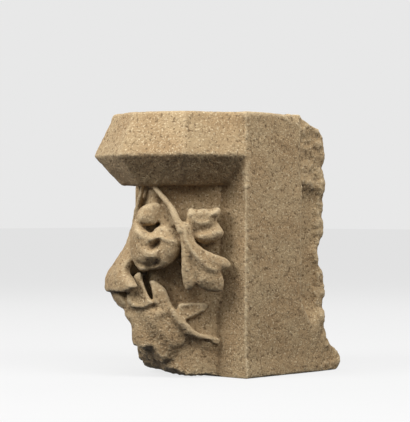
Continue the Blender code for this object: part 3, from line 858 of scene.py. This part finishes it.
def break_share(points, normals):
    """1 on the broken tail and where arrises are lost, 0 on the dressed faces."""
    x, y, z = points.T
    tail = smooth_step((x - 0.200 + 0.5 * np.maximum(z - 0.37, 0)) / 0.012)
    head = smooth_step((x - JAMB + 0.006) / 0.006) * smooth_step((z - 0.300) / 0.020)
    flank = smooth_step((x - JAMB - GROOVE_WIDTH + 0.010) / 0.006)
    top = smooth_step((x - 0.085) / 0.030) * smooth_step((z - 0.425) / 0.015)
    under = smooth_step((-normals[:, 2] - 0.3) / 0.3) * smooth_step((0.075 - z) / 0.020)
    share = np.maximum.reduce([tail, head, flank, top, under * smooth_step(-x / 0.01)])
    return np.clip(share, 0, 1)


def add_attribute(mesh, name, values):
    """Stores a number at every point for the material."""
    attribute = mesh.attributes.new(name, "FLOAT", "POINT")
    attribute.data.foreach_set("value", np.asarray(values, np.float32))


def add_node(tree, kind, settings=None, inputs=None):
    """Adds a node. An input, by name or number, takes a value or another node's output."""
    node = tree.nodes.new(kind)
    for name, value in (settings or {}).items():
        setattr(node, name, value)
    for name, value in (inputs or {}).items():
        if isinstance(value, bpy.types.NodeSocket):
            tree.links.new(value, node.inputs[name])
        else:
            node.inputs[name].default_value = value
    return node


def sandstone(colours):
    """Weathered sandstone: chisel dressed, then open to the weather for centuries.

    To the eye: a matt khaki body with dark pits and light grains a few millimetres apart,
    paler worn arrises, faint brown clouds of iron, and old soil with painted shade darkening the
    hollows.
    """
    material = bpy.data.materials.new("weathered_sandstone_dressed")
    material.use_nodes = True
    tree = material.node_tree
    shader = tree.nodes["Principled BSDF"]
    shader.inputs["Roughness"].default_value = 0.94
    shader.inputs["Specular IOR Level"].default_value = 0.25
    place = add_node(tree, "ShaderNodeTexCoord").outputs["Object"]
    hollow = add_node(tree, "ShaderNodeAttribute", {"attribute_name": "hollow"}).outputs["Fac"]

    noises = {}
    for name, size_mm, detail in (("grain", 3.2, 2.0), ("fleck", 5.5, 3.0), ("cloud", 60.0, 4.0)):
        noises[name] = add_node(tree, "ShaderNodeTexNoise", None, {
            "Vector": place, "Scale": 1000.0 / size_mm, "Detail": detail}).outputs["Fac"]

    layers = (
        (noises["cloud"], 0.35, 0.65, 0.35, colours.iron),
        (noises["grain"], 0.56, 0.72, 0.75, colours.pale),
        (noises["fleck"], 0.46, 0.30, 0.80, colours.dark),
        (hollow, -0.15, -0.90, 0.50, colours.pale),
        # Painted shade: the soil colour darkens concave places, for old dirt and for the shade that
        # falls in hollows
        (hollow, 0.20, 1.20, 0.70, colours.soil_and_painted_shade),
    )
    colour = (*colours.body, 1.0)
    for value, none, full, share, paint in layers:
        amount = add_node(tree, "ShaderNodeMapRange", {"clamp": True}, {
            "Value": value, "From Min": none, "From Max": full, "To Max": share})
        colour = add_node(tree, "ShaderNodeMix", {"data_type": "RGBA"}, {
            "Factor": amount.outputs["Result"], 6: colour, 7: (*paint, 1.0)}).outputs[2]
    tree.links.new(colour, shader.inputs["Base Color"])

    height = add_node(tree, "ShaderNodeMath", {"operation": "ADD"},
                      {0: noises["grain"], 1: noises["fleck"]})
    relief = add_node(tree, "ShaderNodeBump", None, {
        "Strength": 0.8, "Distance": 0.0016, "Height": height.outputs[0]})
    tree.links.new(relief.outputs["Normal"], shader.inputs["Normal"])
    return material


class CORBEL_OT_carve_stone(bpy.types.Operator):
    """Build the stone: wall block, abacus, bell and leaves under one worn skin"""

    bl_idname = "corbel.carve_stone"
    bl_label = "Carve the stone"

    def execute(self, context):
        sizes = context.scene.corbel_sizes
        stone = join([wall_block(), abacus(), carving()])
        remesh(stone, sizes.skin)
        paint = chipped_skin(stone, sizes)
        for name, values in paint.items():
            add_attribute(stone.data, name, values)
        thin = stone.modifiers.new("thin", "DECIMATE")
        thin.ratio = min(1.0, 190000 / (2 * len(stone.data.polygons)))
        settle(stone)
        stone.data.transform(Matrix.Translation(SHIFT))
        stone.data.polygons.foreach_set("use_smooth", [True] * len(stone.data.polygons))
        stone.name = PIECE
        stone.data.name = PIECE
        stone.data.materials.clear()
        stone.data.materials.append(sandstone(context.scene.corbel_colours))
        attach(stone, BODY)
        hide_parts(NODE)
        return {"FINISHED"}


# The studio

LEVEL_CAMERA = (-2.26373676, -2.15220578, 0.2821)
CAMERA_AZIMUTH = math.radians(-47.1886)
SENSOR = 36.0
LENS = 1800.0 / 422.0 * SENSOR


def soft_box(name, turn, rise, distance, size, power):
    """A square soft light, turned so far right of the camera's side and so far up, in degrees."""
    data = bpy.data.lights.new(name, "AREA")
    data.size = size
    data.energy = power
    lamp = bpy.data.objects.new(name, data)
    bpy.context.scene.collection.objects.link(lamp)
    around = CAMERA_AZIMUTH - math.radians(90 - turn)
    flat = math.cos(math.radians(rise))
    spot = Vector((math.cos(around) * flat, math.sin(around) * flat, math.sin(math.radians(rise))))
    place = LIGHT_AIM + distance * spot
    turned = (-spot).to_track_quat("-Z", "Y")
    lamp.matrix_world = Matrix.Translation(place) @ turned.to_matrix().to_4x4()
    return lamp


LIGHT_AIM = Vector((0.0, 0.0, 0.20))
SOFT_BOXES = (
    ("left_box", -62, 34, 2.4, 1.3, 62),
    ("right_box", 50, 40, 2.4, 1.3, 44),
    ("front_box", 5, 58, 2.6, 1.6, 40),
    ("low_fill", 0, 6, 3.4, 2.0, 10),
    ("back_left_box", -140, 35, 2.8, 1.8, 26),
    ("back_right_box", 140, 35, 2.8, 1.8, 26),
)


class CORBEL_OT_set_studio(bpy.types.Operator):
    """Set up the pale floor, the soft lights and the camera"""

    bl_idname = "corbel.set_studio"
    bl_label = "Set up the studio"

    def execute(self, context):
        scene = context.scene
        studio = scene.corbel_studio
        data = bpy.data.cameras.new("view_camera")
        camera = bpy.data.objects.new("view_camera", data)
        scene.collection.objects.link(camera)
        data.sensor_width = SENSOR
        data.lens = LENS
        data.clip_end = 60.0
        right = Vector((math.cos(CAMERA_AZIMUTH), math.sin(CAMERA_AZIMUTH), 0))
        ahead = Vector((-math.sin(CAMERA_AZIMUTH), math.cos(CAMERA_AZIMUTH), 0))
        axes = Matrix((right, Vector((0, 0, 1)), -ahead)).transposed().to_4x4()
        camera.matrix_world = Matrix.Translation(Vector(LEVEL_CAMERA) + SHIFT) @ axes
        scene.camera = camera

        bpy.ops.mesh.primitive_plane_add(size=40)
        floor = context.object
        floor.name = "studio_floor"
        floor.data.materials.append(self.paper(studio))
        floor.visible_diffuse = False

        for name, turn, rise, distance, size, power in SOFT_BOXES:
            soft_box(name, turn, rise, distance, size, power * studio.light)
        world = bpy.data.worlds.new("studio_world")
        scene.world = world
        world.use_nodes = True
        sky = world.node_tree.nodes["Background"]
        sky.inputs[0].default_value = (*studio.floor, 1)
        sky.inputs[1].default_value = 1.0
        world.cycles_visibility.diffuse = False
        world.cycles_visibility.glossy = False
        scene.view_settings.view_transform = "Standard"
        return {"FINISHED"}

    @staticmethod
    def paper(studio):
        """Matt white backdrop paper, lit from within enough to hide where it ends."""
        material = bpy.data.materials.new("backdrop_paper")
        material.use_nodes = True
        shader = material.node_tree.nodes["Principled BSDF"]
        shader.inputs["Base Color"].default_value = (0.10, 0.10, 0.10, 1)
        shader.inputs["Roughness"].default_value = 1.0
        shader.inputs["Specular IOR Level"].default_value = 0.0
        shader.inputs["Emission Color"].default_value = (*studio.floor, 1)
        shader.inputs["Emission Strength"].default_value = 0.94
        return material


class CORBEL_PT_panel(bpy.types.Panel):
    """The stone's sizes, colours and studio"""

    bl_label = "Corbel stone"
    bl_idname = "CORBEL_PT_panel"
    bl_space_type = "VIEW_3D"
    bl_region_type = "UI"
    bl_category = "Corbel"

    def draw(self, context):
        layout = self.layout
        for group in (context.scene.corbel_sizes, context.scene.corbel_colours,
                      context.scene.corbel_studio):
            column = layout.column()
            for name in group.__annotations__:
                column.prop(group, name)
        layout.operator(CORBEL_OT_carve_stone.bl_idname)
        layout.operator(CORBEL_OT_set_studio.bl_idname)


CLASSES = (CorbelSizes, CorbelColours, StudioSettings, CORBEL_OT_carve_stone,
           CORBEL_OT_set_studio, CORBEL_PT_panel)


def register():
    """Registers the classes and the scene's settings."""
    for each in CLASSES:
        bpy.utils.register_class(each)
    bpy.types.Scene.corbel_sizes = PointerProperty(type=CorbelSizes)
    bpy.types.Scene.corbel_colours = PointerProperty(type=CorbelColours)
    bpy.types.Scene.corbel_studio = PointerProperty(type=StudioSettings)


def unregister():
    """Takes them away again."""
    for name in ("corbel_sizes", "corbel_colours", "corbel_studio"):
        delattr(bpy.types.Scene, name)
    for each in reversed(CLASSES):
        bpy.utils.unregister_class(each)


def main():
    register()
    bpy.ops.corbel.carve_stone()
    bpy.ops.corbel.set_studio()


if __name__ == "__main__":
    main()
